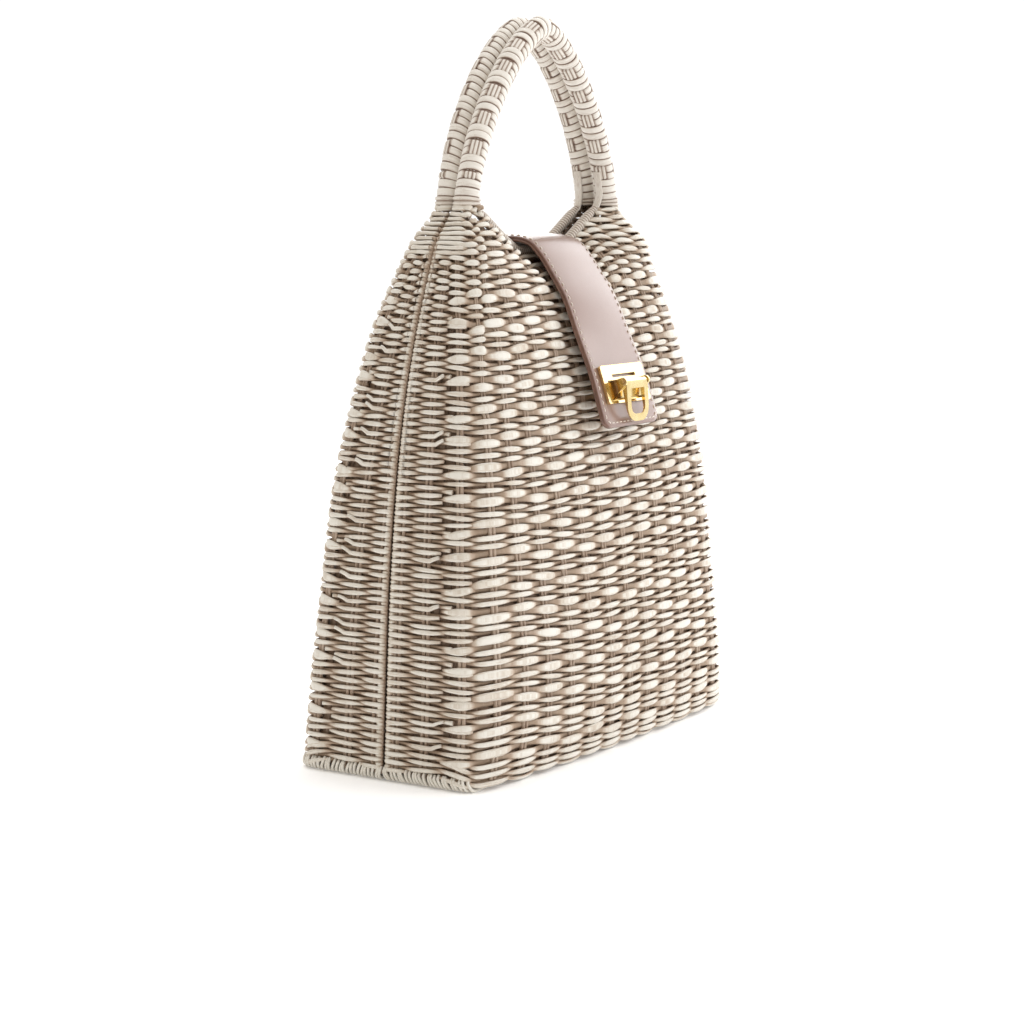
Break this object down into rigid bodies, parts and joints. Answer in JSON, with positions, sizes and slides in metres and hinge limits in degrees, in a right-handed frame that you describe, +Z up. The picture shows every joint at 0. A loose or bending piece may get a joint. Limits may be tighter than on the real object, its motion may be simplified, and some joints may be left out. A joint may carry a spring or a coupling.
{
  "type": "wicker handbag",
  "caption": "Tall hard-sided wicker handbag: woven half shells, wrapped arch handles, a leather strap over the mouth and a gilt hasp lock.",
  "frame": {"origin": "middle of the footprint on the ground, under the centre of the bag's bounding box", "axes": "+Z up, +X to the right across the bag seen from the front, the front with the strap and lock faces -Y"},
  "size_m": [0.3032, 0.1468, 0.4314],
  "materials": {
    "wicker": "woven round cane with a white wash rubbed over brown",
    "cane": "flat cream cane wound over a round core",
    "leather": "smooth dusty taupe leather with painted brown edges",
    "gilt": "polished pale gold plate"
  },
  "bodies": {
    "bag": {"front_shell": "wicker", "back_shell": "wicker", "front_rim": "cane", "back_rim": "cane", "front_handle": "cane", "back_handle": "cane", "strap": "leather", "lock_plate": "gilt", "lock_post": "gilt"},
    "lock_loop": {"lock_loop": "gilt"}
  },
  "joints": [
    {"name": "lock_loop_swing", "type": "hinge", "parent": "bag", "child": "lock_loop", "pos_m": [0, -0.06983, 0.21918], "axis": [-1, 0, 0], "range_deg": [0, 95]}
  ]
}
